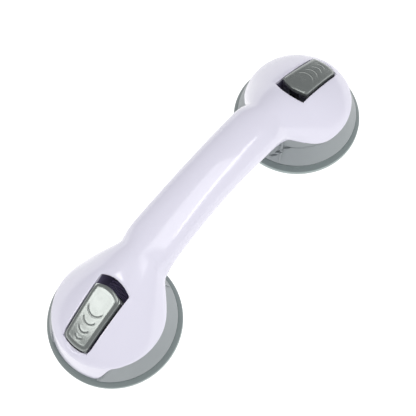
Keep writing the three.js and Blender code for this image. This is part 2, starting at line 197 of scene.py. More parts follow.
# A profile of radius and height, spun about the upright axis.
def turned(name, profile, steps=128, sweep=360):
    piece = drawnChain(name, [(r, 0, z) for r, z in profile])
    bpy.ops.mesh.spin(steps=steps, angle=radians(sweep), center=(0, 0, 0), axis=(0, 0, 1))
    bpy.ops.mesh.select_all(action="SELECT")
    bpy.ops.mesh.remove_doubles(threshold=1e-6)
    if sweep < 360:
        bpy.ops.mesh.fill_holes(sides=0)
    bpy.ops.mesh.select_all(action="SELECT")
    bpy.ops.mesh.normals_make_consistent(inside=False)
    bpy.ops.object.mode_set(mode="OBJECT")
    return piece


# A closed outline, filled and drawn out into a plate.
def plate(name, outline, along):
    piece = drawnChain(name, outline + outline[:1])
    bpy.ops.mesh.remove_doubles(threshold=1e-6)
    bpy.ops.mesh.edge_face_add()
    bpy.ops.mesh.extrude_region_move(TRANSFORM_OT_translate={"value": at(*along)})
    bpy.ops.mesh.select_all(action="SELECT")
    bpy.ops.mesh.normals_make_consistent(inside=False)
    bpy.ops.object.mode_set(mode="OBJECT")
    return piece


# A side view of X and Z, as thick as given, centred on Y = 0.
def slab(name, outline, thickness):
    points = [(x, -thickness / 2, z) for x, z in outline]
    return plate(name, points, (0, thickness, 0))


def pairOf(piece, node):
    made = {}
    for side, sign in sides.items():
        twin = copied(piece, side + "_" + node + "_look")
        made[side] = settled(twin, sign * headX, turn=0 if sign > 0 else 180)
    bpy.data.objects.remove(piece)
    return made


# A socket that takes part in sums.
class Wire:
    def __init__(self, finish, socket):
        self.finish = finish
        self.socket = socket

    def sum(self, operation, first, second=0.0):
        return self.finish.add("Math", {"operation": operation}, {0: first, 1: second})

    def __add__(self, other):
        return self.sum("ADD", self, other)

    def __radd__(self, other):
        return self.sum("ADD", other, self)

    def __sub__(self, other):
        return self.sum("SUBTRACT", self, other)

    def __rsub__(self, other):
        return self.sum("SUBTRACT", other, self)

    def __mul__(self, other):
        return self.sum("MULTIPLY", self, other)

    def __rmul__(self, other):
        return self.sum("MULTIPLY", other, self)

    def __pow__(self, other):
        return self.sum("POWER", self, other)

    def __abs__(self):
        return self.sum("ABSOLUTE", self)


# A material whose nodes are added one call at a time.
class Finish:
    def __init__(self, name):
        self.material = bpy.data.materials.new(name)
        self.material.use_nodes = True
        self.tree = self.material.node_tree
        self.tree.nodes.clear()
        self.place = self.add("TexCoord", {}, {}, "Object")

    def add(self, kind, settings, sockets, out=0):
        node = self.tree.nodes.new("ShaderNode" + kind)
        for name, value in settings.items():
            setattr(node, name, value)
        for name, value in sockets.items():
            if isinstance(value, Wire):
                self.tree.links.new(value.socket, node.inputs[name])
            else:
                node.inputs[name].default_value = value
        return Wire(self, node.outputs[out]) if node.outputs else node

    def noise(self, scale, detail=2.0, roughness=0.5):
        sockets = {"Vector": self.place, "Scale": scale, "Detail": detail}
        return self.add("TexNoise", {}, sockets | {"Roughness": roughness}, "Fac")

    def between(self, share, first, second):
        sockets = {0: share, 6: (*first, 1), 7: (*second, 1)}
        return self.add("Mix", {"data_type": "RGBA"}, sockets, 2)

    # A ramp from 0 to 1 as the value goes from low to high.
    def ramp(self, value, low, high):
        settings = {"interpolation_type": "SMOOTHSTEP"}
        return self.add("MapRange", settings, {0: value, 1: low, 2: high})

    def bump(self, height, depth):
        return self.add("Bump", {}, {"Height": height, "Distance": depth, "Strength": 1.0})

    def sineOf(self, value):
        return self.add("Math", {"operation": "SINE"}, {0: value})

    def surface(self, **sockets):
        named = {name.replace("_", " "): value for name, value in sockets.items()}
        shader = self.add("BsdfPrincipled", {}, named)
        self.add("OutputMaterial", {}, {"Surface": shader})
        return self.material

    def axes(self):
        split = self.add("SeparateXYZ", {}, {0: self.place})
        node = split.socket.node
        return [Wire(self, node.outputs[i]) for i in range(3)]

    # Distance from the nearer head's axis.
    def fromHead(self):
        x, y, z = self.axes()
        along = abs(x) - headX * mm
        return (along * along + y * y) ** 0.5


shellGloss = {
    "colour": (0.79, 0.777, 0.885),
    "colourDeep": (0.77, 0.757, 0.868),
    "roughness": 0.16,
    "haze": 0.07,
    "coat": 0.35,
    "coatRoughness": 0.06,
    "peel": 0.00002,
}


def shellPlastic():
    made = Finish("shellPlastic")
    cloud = made.noise(28, 3)
    peel = made.noise(420, 2)
    smear = made.ramp(made.noise(55, 4, 0.6), 0.45, 0.75)
    return made.surface(
        Base_Color=made.between(cloud, shellGloss["colour"], shellGloss["colourDeep"]),
        Roughness=smear * shellGloss["haze"] + shellGloss["roughness"],
        Normal=made.bump(peel, shellGloss["peel"]),
        Coat_Weight=shellGloss["coat"],
        Coat_Roughness=shellGloss["coatRoughness"],
        IOR=1.5,
    )


leverGloss = {
    "colour": (0.255, 0.277, 0.264),
    "colourDeep": (0.225, 0.246, 0.234),
    "metal": 0.5,
    "roughness": 0.22,
    "haze": 0.09,
    "coat": 0.3,
    "coatRoughness": 0.08,
    "grain": 0.000012,
}


def leverPlastic():
    made = Finish("leverPlastic")
    cloud = made.noise(70, 3)
    fleck = made.noise(3200, 2)
    smear = made.ramp(made.noise(110, 4, 0.6), 0.4, 0.75)
    return made.surface(
        Base_Color=made.between(cloud, leverGloss["colour"], leverGloss["colourDeep"]),
        Metallic=leverGloss["metal"],
        Roughness=smear * leverGloss["haze"] + leverGloss["roughness"],
        Normal=made.bump(fleck, leverGloss["grain"]),
        Coat_Weight=leverGloss["coat"],
        Coat_Roughness=leverGloss["coatRoughness"],
        IOR=1.5,
    )


collarSatin = {
    "colour": (0.32, 0.35, 0.36),
    "colourDeep": (0.28, 0.308, 0.318),
    "roughness": 0.36,
    "haze": 0.12,
    "grain": 0.00003,
}


def collarPlastic():
    made = Finish("collarPlastic")
    cloud = made.noise(45, 3)
    grain = made.noise(2600, 3, 0.6)
    return made.surface(
        Base_Color=made.between(cloud, collarSatin["colour"], collarSatin["colourDeep"]),
        Roughness=made.noise(300, 2) * collarSatin["haze"] + collarSatin["roughness"],
        Normal=made.bump(grain, collarSatin["grain"]),
        IOR=1.48,
    )


# The rim's light and dark bands are painted light and painted shade, set by height: the upright
# outer face is painted lighter and the bevel above it darker.
rubberLook = {
    "dark": (0.165, 0.2, 0.2),
    "light": (0.36, 0.43, 0.42),
    "bandLow": 0.0036,
    "bandHigh": 0.0044,
    "bloomColour": (0.4, 0.45, 0.44),
    "bloom": 0.12,
    "roughness": 0.42,
    "haze": 0.14,
    "ringPitch": 0.0016,
    "ringDepth": 0.00008,
    "sealLow": 0.0002,
    "sealHigh": 0.0009,
    "fine": 0.25,
}


def cupRubber():
    made = Finish("cupRubber")
    height = made.axes()[2]
    # painted light below bandLow on the upright face, painted shade above bandHigh on the bevel
    band = made.ramp(height, rubberLook["bandLow"], rubberLook["bandHigh"])
    paintedLightTint = made.between(band, rubberLook["light"], rubberLook["dark"])
    bloom = made.ramp(made.noise(90, 4, 0.65), 0.5, 0.8)
    pale = {0: bloom * rubberLook["bloom"], 6: paintedLightTint, 7: (*rubberLook["bloomColour"], 1)}
    rings = made.sineOf(made.fromHead() * (2 * pi / rubberLook["ringPitch"]))
    sealing = 1 - made.ramp(height, rubberLook["sealLow"], rubberLook["sealHigh"])
    fine = made.noise(1800, 2) * rubberLook["fine"]
    return made.surface(
        Base_Color=made.add("Mix", {"data_type": "RGBA"}, pale, 2),
        Roughness=bloom * rubberLook["haze"] + rubberLook["roughness"],
        Normal=made.bump(rings * sealing + fine, rubberLook["ringDepth"]),
        IOR=1.5,
    )


# The stud's near-black colour is painted shade, not its own colour: it darkens what shows through
# the slot beside the lever so the gap reads as shade.
studShadeDark = {
    "colour": (0.035, 0.036, 0.037),
    "colourDeep": (0.05, 0.051, 0.053),
    "roughness": 0.42,
    "haze": 0.15,
    "grain": 0.00002,
}


def studPaintedShade():
    made = Finish("studPaintedShade")
    cloud = made.noise(160, 3)
    return made.surface(
        Base_Color=made.between(cloud, studShadeDark["colour"], studShadeDark["colourDeep"]),
        Roughness=made.noise(500, 2) * studShadeDark["haze"] + studShadeDark["roughness"],
        Normal=made.bump(made.noise(2000, 2), studShadeDark["grain"]),
        IOR=1.5,
    )


steelLook = {
    "bright": (0.62, 0.62, 0.63),
    "dull": (0.46, 0.46, 0.47),
    "roughness": 0.24,
    "haze": 0.16,
    "drawn": 0.000006,
}


def plainSteel():
    made = Finish("plainSteel")
    stretched = {"Vector": made.place, "Scale": (1.0, 1.0, 9.0)}
    streaks = {"Vector": made.add("Mapping", {}, stretched), "Scale": 900.0, "Detail": 3.0}
    drawn = made.add("TexNoise", {}, streaks, "Fac")
    worn = made.ramp(made.noise(400, 3), 0.4, 0.7)
    return made.surface(
        Base_Color=made.between(worn, steelLook["bright"], steelLook["dull"]),
        Metallic=1.0,
        Roughness=drawn * steelLook["haze"] + steelLook["roughness"],
        Normal=made.bump(drawn, steelLook["drawn"]),
    )


# The well's dark purple is painted shade: the shell's white inner walls are coloured dark to stand
# in for the shade deep in the recess.
wellShadeLook = {
    "colour": (0.22, 0.195, 0.33),
    "colourPale": (0.28, 0.25, 0.41),
    "roughness": 0.5,
    "haze": 0.15,
    "grain": 0.00002,
}


def wellPaintedShade():
    made = Finish("wellPaintedShade")
    cloud = made.noise(180, 3)
    return made.surface(
        Base_Color=made.between(cloud, wellShadeLook["colour"], wellShadeLook["colourPale"]),
        Roughness=made.noise(600, 2) * wellShadeLook["haze"] + wellShadeLook["roughness"],
        Normal=made.bump(made.noise(1500, 2), wellShadeLook["grain"]),
        IOR=1.45,
    )


finishes = {
    "white_shell": shellPlastic(),
    "grey_lever": leverPlastic(),
    "grey_collar": collarPlastic(),
    "rubber": cupRubber(),
    # the stud's finish carries painted shade for the slot
    "stud_plastic": studPaintedShade(),
    "steel": plainSteel(),
    # painted shade for the wells round the levers
    "well": wellPaintedShade(),
}
print("finishes mixed:", len(finishes))


def finished(piece, slot, body, *nodes, finish=None):
    piece.data.materials.clear()
    piece.data.materials.append(finishes[finish or slot])
    if nodes:
        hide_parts(*nodes)
    if body:
        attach(piece, body)


# The handle's form, by distance from the bar's middle.
form = {
    "crest": 72.0,
    "headTop": 50.8,
    "slope": 0.448,
    "slopeGrowth": 0.0027,
    "gripWidth": 34.4,
    "gripThickness": 25.4,
    "flare": 0.0008,
    "neckBlend": 10.0,
    "neckStart": 49.0,
    "neckEnd": 10.0,
    "headRadius": 37.8,
    "headEdge": 25.6,
    "lip": 1.0,
    "edgeRounding": 12.0,
    "crown": 1.8,
}


def topHeight(x):
    away = abs(x)
    if away > headX:
        past = away - headX
        return form["headTop"] - form["slope"] * past - form["slopeGrowth"] * past * past
    t = away / headX
    fall = t * t * (3 - 2 * t)
    bend = t * t * (t - 1)
    return mix(form["crest"], form["headTop"], fall) - form["slope"] * headX * bend


def halfWidth(x):
    away = abs(x)
    reach = away - headX
    head = sqrt(max(form["headRadius"] ** 2 - reach * reach, 0))
    if away >= headX:
        return head
    grip = form["gripWidth"] / 2 + form["flare"] / 2 * away * away
    return softMax(grip, head, form["neckBlend"])


def neckShare(x):
    return smoothstep(headX - form["neckStart"], headX - form["neckEnd"], abs(x))


def splitHeight(x):
    grip = topHeight(x) - form["gripThickness"] / 2 - form["lip"]
    return mix(grip, form["headEdge"], neckShare(x))


def underHeight(x):
    return topHeight(x) - form["gripThickness"]


# Height of the upper surface at a share of the half width, before the scoops.
def domeHeight(x, across):
    side = splitHeight(x) + form["lip"]
    past = abs(x) - (headX + form["headRadius"] - form["edgeRounding"])
    past = max(past, 0) / form["edgeRounding"]
    roll = sqrt(max(1 - past * past, 0))
    bulge = max(1 - across * across, 0) ** (mix(1, form["crown"], neckShare(x)) / 2)
    return side + (topHeight(x) - side) * roll * bulge


slot = {
    "neck": 14.6,
    "bow": 3.0,
    "outer": 32.4,
    "half": 11.9,
    "halfTip": 10.9,
    "tipNarrowing": 1.1,
    "tipBow": 1.6,
    "heel": 8.4,
    "narrowFrom": 26.0,
    "bowFade": 14.0,
    "tipFade": 5.0,
    "edgeDrop": 0.35,
    "neckDrop": 0.9,
    "dropFrom": 6.0,
    "dropTo": 14.0,
    "dropEnd": 27.0,
    "dropWidth": 1.1,
}
scoop = {
    "radius": 8.5,
    "depth": 2.3,
    "soft": 0.5,
    "beyond": 0.6,
    "squeeze": 0.72,
    "narrow": 1.25,
}
shell = {
    "gripSteps": 42,
    "slotSteps": 64,
    "endSteps": 20,
    "sideSteps": 18,
    "acrossSteps": 22,
    "skirtRows": 7,
    "wall": 2.3,
    "foot": 8.6,
    "footRadius": 42.0,
    "skirtFrom": 24.0,
    "skirtTo": 46.0,
    "flareFrom": 50.0,
    "flareTo": 60.0,
    "gripCrowding": 1.6,
    "sideCrowding": 1.4,
    "edge": 0.35,
}


def slotHalf(u):
    heel, outer = slot["heel"], slot["outer"]
    share = (min(max(u, -heel), outer) + heel) / (outer + heel)
    narrowed = slot["tipNarrowing"] * smoothstep(slot["narrowFrom"], outer, u)
    return mix(slot["half"], slot["halfTip"], share) - narrowed


# How far the skin dips at a point beside the slot, where its edge is rounded.
def slotDip(u, y):
    half = slotHalf(u)
    neckEdge = slot["bow"] * min((y / half) ** 2, 1) - slot["neck"]
    off = hypot(max(neckEdge - u, 0), max(abs(y) - half, 0))
    towardsNeck = smoothstep(-slot["dropFrom"], -slot["dropTo"], u)
    deep = mix(slot["edgeDrop"], slot["neckDrop"], towardsNeck)
    deep *= 1 - smoothstep(slot["dropEnd"], slot["outer"], u)
    return deep * exp(-off / slot["dropWidth"])


def shellStations():
    half = []
    neck = headX - slot["neck"]
    tip = headX + slot["outer"]
    for i in range(shell["gripSteps"]):
        half.append(neck * (1 - (1 - i / shell["gripSteps"]) ** shell["gripCrowding"]))
    for i in range(shell["slotSteps"]):
        half.append(mix(neck, tip, i / shell["slotSteps"]))
    first = asin(slot["outer"] / form["headRadius"])
    for i in range(shell["endSteps"] + 1):
        angle = mix(first, pi / 2, i / shell["endSteps"])
        half.append(headX + form["headRadius"] * sin(angle))
    return [-x for x in half[:0:-1]] + half


# A point of the upper skin, by its station along X and its share across.
# A share of 1 is the slot's side, and 2 is the outline.
def skinPoint(x, share):
    sign = -1 if x < 0 else 1
    away = abs(x)
    inner = min(abs(share), 1)
    beyond = max(abs(share) - 1, 0) ** shell["sideCrowding"]
    station = away - headX
    nearNeck = 1 - smoothstep(0, slot["bowFade"], abs(station + slot["neck"]))
    nearTip = 1 - smoothstep(0, slot["tipFade"], abs(station - slot["outer"]))
    drawn = inner * inner - smoothstep(0, 1, beyond)
    away += slot["bow"] * nearNeck * drawn
    away -= slot["tipBow"] * nearTip * drawn
    u = away - headX
    wide = halfWidth(away)
    ratio = slotHalf(u) / max(wide, 1e-6)
    if station > slot["outer"]:
        ratio = slotHalf(slot["outer"]) / halfWidth(headX + slot["outer"])
    across = inner * ratio if beyond == 0 else cos(acos(ratio) * (1 - beyond))
    y = wide * across
    z = domeHeight(away, across) - slotDip(u, y)
    centre = domeHeight(headX + slot["outer"], 0) + scoop["radius"] - scoop["depth"]
    past = (u - slot["outer"] - scoop["beyond"]) * scoop["narrow"]
    off = past * past + (y * scoop["squeeze"]) ** 2
    if off < scoop["radius"] ** 2:
        z = softMin(z, centre - sqrt(scoop["radius"] ** 2 - off), scoop["soft"])
    return sign * away, y * (1 if share > 0 else -1), z


# How low the skirt hangs at an angle from the outer end, seen from the head's centre.
def skirtFoot(angle, split):
    hang = 1 - smoothstep(shell["skirtFrom"], shell["skirtTo"], angle)
    return mix(split, shell["foot"], hang)


# The outline's band, which hangs lower as a skirt round the outer end.
def skirtPoint(x, y, row):
    side = splitHeight(x) + form["lip"]
    u = abs(x) - headX
    angle = atan2(abs(y), u) * 180 / pi
    z = mix(side, skirtFoot(angle, splitHeight(x)), row)
    flare = (shell["footRadius"] - form["headRadius"]) * (side - z) / (side - shell["foot"])
    flare *= 1 - smoothstep(shell["flareFrom"], shell["flareTo"], angle)
    reach = max(hypot(u, y), 1e-6)
    sign = -1 if x < 0 else 1
    return x + sign * flare * u / reach, y + flare * y / reach, z


def buildShell():
    stations = shellStations()
    along = len(stations) - 1
    shares = [1 + i / shell["sideSteps"] for i in range(shell["sideSteps"], 0, -1)]
    shares += [1 - 2 * i / shell["acrossSteps"] for i in range(shell["acrossSteps"] + 1)]
    shares += [-1 - i / shell["sideSteps"] for i in range(1, shell["sideSteps"] + 1)]
    across = len(shares) - 1
    putDown()
    bpy.ops.mesh.primitive_grid_add(x_subdivisions=along, y_subdivisions=across, size=2)
    piece = justAdded("handle_shell_look")

    def station(x):
        return (x + 1) / 2 * along

    def row(y):
        return (y + 1) / 2 * across

    # the slots
    firstRow = shell["sideSteps"]
    lastRow = firstRow + shell["acrossSteps"]
    fromEnd = shell["endSteps"]
    toEnd = fromEnd + shell["slotSteps"]

    def inSlot(face):
        middle = face.calc_center_median()
        place = station(middle.x)
        inside = fromEnd < place < toEnd or fromEnd < along - place < toEnd
        return inside and firstRow < row(middle.y) < lastRow

    startEditing(piece)
    choose(piece, "FACE", inSlot)
    bpy.ops.mesh.delete(type="FACE")
    putDown()
    for corner in piece.data.vertices:
        x = stations[round(station(corner.co.x))]
        corner.co = at(*skinPoint(x, shares[round(row(corner.co.y))]))
    piece.data.update()
    startEditing(piece)
    bpy.ops.mesh.select_all(action="SELECT")
    bpy.ops.mesh.remove_doubles(threshold=1e-6)
    bpy.ops.mesh.normals_make_consistent(inside=False)

    # the band under the outline, parked far below until each row's level is known
    parking = 100

    def onOutline(edge):
        def near(corner):
            x, y, z = corner.co / mm
            return abs(abs(y) - halfWidth(x)) < 0.02

        return edge.is_boundary and all(near(corner) for corner in edge.verts)

    choose(piece, "EDGE", onOutline)
    for i in range(shell["skirtRows"]):
        bpy.ops.mesh.extrude_region_move(
            TRANSFORM_OT_translate={"value": at(0, 0, -parking)}
        )
    bpy.ops.mesh.select_all(action="SELECT")
    bpy.ops.mesh.normals_make_consistent(inside=False)
    putDown()
    for corner in piece.data.vertices:
        x, y, z = corner.co / mm
        if z < 0:
            level = round((splitHeight(x) + form["lip"] - z) / parking)
            corner.co = at(*skirtPoint(x, y, level / shell["skirtRows"]))
    piece.data.update()
    if max(piece.data.polygons, key=lambda face: face.center.z).normal.z < 0:
        startEditing(piece)
        bpy.ops.mesh.select_all(action="SELECT")
        bpy.ops.mesh.flip_normals()
        putDown()

    # rims are kept by their corners, because the wall's copies come after them
    uses = {}
    for face in piece.data.polygons:
        for key in face.edge_keys:
            uses[key] = uses.get(key, 0) + 1
    rims = {tuple(sorted(key)) for key, count in uses.items() if count == 1}
    modified(piece, "SOLIDIFY", thickness=shell["wall"] * mm, offset=-1, use_rim=True)
    startEditing(piece)

    def onRim(edge):
        return tuple(sorted(corner.index for corner in edge.verts)) in rims

    choose(piece, "EDGE", onRim)
    width = shell["edge"] * mm
    bpy.ops.mesh.bevel(offset=width, segments=3, affect="EDGES", clamp_overlap=True)
    putDown()
    smoothed(piece, 40)
    return piece


handleShell = buildShell()
finished(handleShell, "white_shell", "handle", "handle_shell")
print("handle shell:", len(handleShell.data.polygons), "faces")


# The wall and ribbed floor that each lever lies in: the shell's own inner walls, coloured dark
# purple as painted shade for the deep recess.
well = {
    "reach": 19.4,
    "foot": 24.4,
    "tipFoot": 27.6,
    "wall": 1.5,
    "sink": 1.4,
    "ribs": 9,
    "ribDepth": 1.0,
    "rows": 6,
    "sideSteps": 16,
    "footFrom": 24.0,
    "footTo": 29.0,
    "floor": 26.0,
    "floorEnd": 29.0,
    "floorSteps": 48,
    "overlap": 0.5,
    "hole": 10.5,
    "ribHeight": 1.0,
}


def wellOutline():
    points = []
    steps = well["sideSteps"]
    for i in range(steps + 1):
        u = mix(-well["reach"], slot["outer"], i / steps)
        points.append((u, slotHalf(u)))
    for i in range(1, 8):
        share = 1 - i / 4
        u = slot["outer"] + slot["tipBow"] * (1 - share * share)
        points.append((u, slotHalf(slot["outer"]) * share))
    for i in range(steps + 1):
        u = mix(slot["outer"], -well["reach"], i / steps)
        points.append((u, -slotHalf(u)))
    ribSteps = well["ribs"] * 4
    for i in range(1, ribSteps):
        v = mix(-slot["half"], slot["half"], i / ribSteps)
        rib = well["ribDepth"] if i % 4 in (1, 2) else 0
        points.append((-well["reach"] + rib, v))
    return points


def buildWell():
    outline = wellOutline()
    chain = [(u, v, 0) for u, v in outline]
    piece = drawnChain("well", chain + chain[:1])
    bpy.ops.mesh.remove_doubles(threshold=1e-6)
    for i in range(well["rows"]):
        bpy.ops.mesh.extrude_region_move(TRANSFORM_OT_translate={"value": at(0, 0, 1)})
    bpy.ops.mesh.select_all(action="SELECT")
    bpy.ops.mesh.normals_make_consistent(inside=False)
    putDown()

    def rise(u, v, level):
        x = headX + u
        top = domeHeight(x, min(abs(v) / halfWidth(x), 1)) - well["sink"]
        if u > slot["outer"] - 1:
            top -= scoop["depth"]
        nearTip = smoothstep(well["footFrom"], well["footTo"], u)
        foot = mix(well["foot"], well["tipFoot"], nearTip)
        return u, v, mix(foot, top, level / well["rows"])

    shaped(piece, rise)
    modified(piece, "SOLIDIFY", thickness=well["wall"] * mm, offset=1, use_rim=True)

    # the ribbed floor round the tower
    putDown()
    across = well["ribs"] * 4
    along = well["floorSteps"]
    bpy.ops.mesh.primitive_grid_add(x_subdivisions=along, y_subdivisions=across, size=2)
    floor = justAdded("well_floor")
    hole = well["hole"]

    def ribbed(x, y, z):
        u = mix(-well["reach"] - well["overlap"], well["floorEnd"], (x * mm + 1) / 2)
        u += slot["bow"] * (y * mm) ** 2 * smoothstep(0, -10, u)
        column = round((x * mm + 1) / 2 * along)
        rise = well["ribHeight"] if column % 2 else 0
        return u, y * mm * (slotHalf(u) + well["overlap"]), well["floor"] + rise

    def overTower(face):
        middle = face.calc_center_median() / mm
        return hypot(middle.x, middle.y) < hole - 0.3

    def clearOfTower(u, y, z):
        push = max(hole / max(hypot(u, y), 0.1), 1)
        return u * push, y * push, z

    shaped(floor, ribbed)
    startEditing(floor)
    choose(floor, "FACE", overTower)
    bpy.ops.mesh.delete(type="FACE")
    shaped(floor, clearOfTower)
    modified(floor, "SOLIDIFY", thickness=well["wall"] * mm, offset=-1, use_rim=True)
    pickUp(piece)
    floor.select_set(True)
    bpy.ops.object.join()
    smoothed(piece, 30)
    return piece


for side, piece in pairOf(buildWell(), "lever_well").items():
    # the well gets the dark painted-shade finish instead of the shell's white
    finished(piece, "white_shell", "handle", finish="well")
print("lever wells done")


cover = {
    "alongSteps": 90,
    "acrossSteps": 40,
    "wall": 2.2,
    "endDepth": 4.0,
    "gap": 0.3,
    "headClear": 37.1,
    "screws": (-47, -17, 17, 47),
    "bossRadius": 4.85,
    "seatRadius": 3.35,
    "holeRadius": 1.75,
    "bossDepth": 1.2,
}
screwForm = {
    "headRadius": 3.0,
    "headHeight": 2.0,
    "radius": 1.4,
    "recess": 1.2,
    "pitch": 1.1,
    "slotHalf": 0.36,
}


def buildCover():
    putDown()
    bpy.ops.mesh.primitive_grid_add(
        x_subdivisions=cover["alongSteps"], y_subdivisions=cover["acrossSteps"], size=2
    )
    piece = justAdded("grip_cover_look")

    def trough(x, y, z):
        share, turn = x * mm, y * mm * pi / 2
        across = sin(turn)
        end = headX - cover["headClear"]
        for closer in range(4):
            reach = halfWidth(end) * across
            end = headX - sqrt(cover["headClear"] ** 2 - reach * reach)
        x = end * share
        lip = splitHeight(x) - cover["gap"]
        low = min(underHeight(x), lip - cover["endDepth"])
        return x, halfWidth(x) * across, lip - (lip - low) * cos(turn)

    shaped(piece, trough)
    startEditing(piece)
    bpy.ops.mesh.select_all(action="SELECT")
    bpy.ops.mesh.normals_make_consistent(inside=False)
    putDown()

    def lowness(face):
        return abs(face.center.x) + face.center.z

    if min(piece.data.polygons, key=lowness).normal.z > 0:
        startEditing(piece)
        bpy.ops.mesh.select_all(action="SELECT")
        bpy.ops.mesh.flip_normals()
        putDown()
    modified(piece, "SOLIDIFY", thickness=cover["wall"] * mm, offset=-1, use_rim=True)
    for x in cover["screws"]:
        low = underHeight(x)
        top = splitHeight(x) - 1
        seat = low + screwForm["recess"] + screwForm["headHeight"] + 0.3
        wide, start = cover["bossRadius"], low + cover["bossDepth"]
        boss = turned("boss", [(0, start), (wide, start), (wide, top), (0, top)], 48)
        combined(piece, settled(boss, x), "UNION")
        seatWide, holeWide = cover["seatRadius"], cover["holeRadius"]
        profile = [(0, low - 2), (seatWide, low - 2), (seatWide, seat), (holeWide, seat)]
        profile += [(holeWide, top + 1), (0, top + 1)]
        combined(piece, settled(turned("bore", profile, 48), x), "DIFFERENCE")
    smoothed(piece, 40)
    return piece


gripCover = buildCover()
finished(gripCover, "white_shell", "handle", "grip_cover")
print("grip cover:", len(gripCover.data.polygons), "faces")


# A pan-head screw with a cross recess: its head's foot at the origin, its shank upwards.
def buildScrew(length):
    head, high, core = screwForm["headRadius"], screwForm["headHeight"], screwForm["radius"]
    profile = [(0, 0), (head * 0.55, 0.05), (head * 0.8, 0.25), (head * 0.95, 0.65), (head, 1.2)]
    profile += [(head, high - 0.15), (head - 0.15, high), (core, high)]
    pitch, start = screwForm["pitch"], high + 0.6
    turns = int((length - 2.2) / pitch)
    for i in range(turns):
        z = start + i * pitch
        profile += [(core, z), (core * 0.72, z + pitch * 0.45), (core * 0.72, z + pitch * 0.55)]
    profile += [(core, start + turns * pitch), (core * 0.35, high + length), (0, high + length)]
    piece = turned("screw", profile, 32)
    arm, half = head * 0.62, screwForm["slotHalf"]
    for turn in (0, 90):
        putDown()
        bpy.ops.mesh.primitive_cube_add(size=2)
        blade = justAdded("blade")
        startEditing(blade)
        bpy.ops.mesh.select_all(action="SELECT")
        bpy.ops.transform.resize(value=(arm * mm, half * mm, 1.1 * mm))
        choose(blade, "FACE", lambda face: face.normal.z > 0.5)
        bpy.ops.transform.resize(value=(0.55, 0.8, 1))
        combined(piece, settled(blade, turn=turn), "DIFFERENCE")
    smoothed(piece, 35)
    return piece


def screwPieces():
    for i, x in enumerate(cover["screws"]):
        low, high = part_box("grip_screw_" + str(i + 1))
        if i == 0:
            model = buildScrew((high.z - low.z) / mm - screwForm["headHeight"])
        piece = copied(model, "grip_screw_" + str(i + 1) + "_look")
        settled(piece, x, 0, low.z / mm)
        finished(piece, "steel", "handle", "grip_screw_" + str(i + 1))
    bpy.data.objects.remove(model)
    model = None
    for side in sides:
        for i in range(4):
            node = side + "_collar_screw_" + str(i + 1)
            low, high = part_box(node)
            if model is None:
                model = buildScrew((high.z - low.z) / mm - screwForm["headHeight"])
            place = (low + high) / 2 / mm
            piece = settled(copied(model, node + "_look"), place.x, place.y, low.z / mm)
            finished(piece, "steel", "handle", node)
    bpy.data.objects.remove(model)


screwPieces()
print("screws done")


# Each cup is a rim that stays on the wall, attached to the handle, and a web at its middle, which
# is left unattached here.
cup = {
    "radius": 46.0,
    "split": 40.0,
    "seam": 0.02,
    "top": 8.0,
    "still": 0.4,
    "carried": 3.4,
}


def buildCups():
    seam, wide, top = cup["split"], cup["radius"], cup["top"]
    inner = seam + cup["seam"]
    rim = [(inner, 0), (wide - 1.0, 0), (wide - 0.3, 0.25)]
    rim += [(wide, 0.9), (wide, 3.7), (wide - 0.35, 4.3)]
    rim += [(43.6, 7.4), (43.1, 7.85), (42.4, top), (inner, top)]
    ring = turned("rim", rim + rim[:1], 192)
    smoothed(ring, 40)
    middle = [(0, 3.8), (8, 3.7), (20, 3.2), (30, 2.2), (36, 1.3), (38, 1), (39.2, 0.45)]
    middle += [(seam, 0), (seam, top), (36, top), (33, 7.5), (30, 6.8), (22, 6.9), (15.2, 7.1)]
    middle += [(14.2, 7.5), (13.6, 8.4), (13, 12), (12.5, 12.5), (5.6, 12.5), (5.3, 12.2)]
    middle += [(5.3, 8.8), (11.8, 8.8), (11.8, 6), (0, 6)]
    web = turned("web", middle, 160)
    smoothed(web, 40)
    rings = pairOf(ring, "cup_rim")
    webs = pairOf(web, "cup_web")
    for side in sides:
        node = side + "_suction_cup"
        finished(rings[side], "rubber", "handle", node)
        finished(webs[side], "rubber", None, node)
        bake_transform(webs[side])


buildCups()
print("suction cups done")


collar = {
    "steps": 180,
    "edge": 0.3,
    "top": 25.3,
    "topRadius": 36.8,
    "footRadius": 43.0,
    "footTop": 9.3,
    "foot": 8.3,
    "bore": 5.4,
    "towerRadius": 10.0,
    "towerTop": 29.8,
    "floor": 21.0,
    "floorTop": 24.0,
    "spigotTop": 27.3,
    "spaceTop": 35.2,
    "spaceFoot": 39.4,
    "saddleInner": 33.3,
    "saddleOuter": 36.6,
    "saddleFoot": 23.0,
    "gussets": (-21, -9, 9, 21),
    "gussetFoot": 9.8,
    "gussetThickness": 1.8,
    "notches": ((14, 14.2, 36), (18.5, 19, 40), (25, 23.6, 14)),
    "notch": ((-3.8, 0), (-1.6, -0.8), (1.2, -0.9), (3.8, 0), (1.2, 0.9), (-1.6, 0.8)),
    "notchDepth": 3.0,
    "holes": ((18, 21.5), (18, -21.5), (-18, 21.5), (-18, -21.5)),
}


